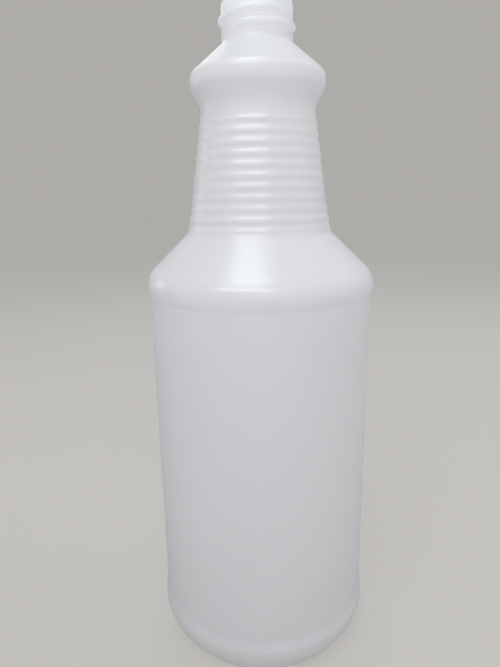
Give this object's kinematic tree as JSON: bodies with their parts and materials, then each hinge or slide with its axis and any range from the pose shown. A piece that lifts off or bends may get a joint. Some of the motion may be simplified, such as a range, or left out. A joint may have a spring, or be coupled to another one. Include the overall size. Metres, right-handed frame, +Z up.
{
  "type": "carafe bottle",
  "caption": "Blow-moulded natural plastic bottle with a straight round body, cone shoulder, ribbed tapering grip, collar and threaded neck that takes a trigger sprayer or screw cap.",
  "frame": {"origin": "centre of the standing ring, on the surface that the bottle stands on", "axes": "+Z up along the bottle's axis towards the mouth; the mould parts on the X-Z plane; the picture's camera looks along +Y"},
  "size_m": [0.0888, 0.0888, 0.2512],
  "materials": {
    "natural_polyethylene": "satin, milky and translucent"
  },
  "bodies": {
    "root": {"bottle": "natural_polyethylene"}
  },
  "joints": []
}
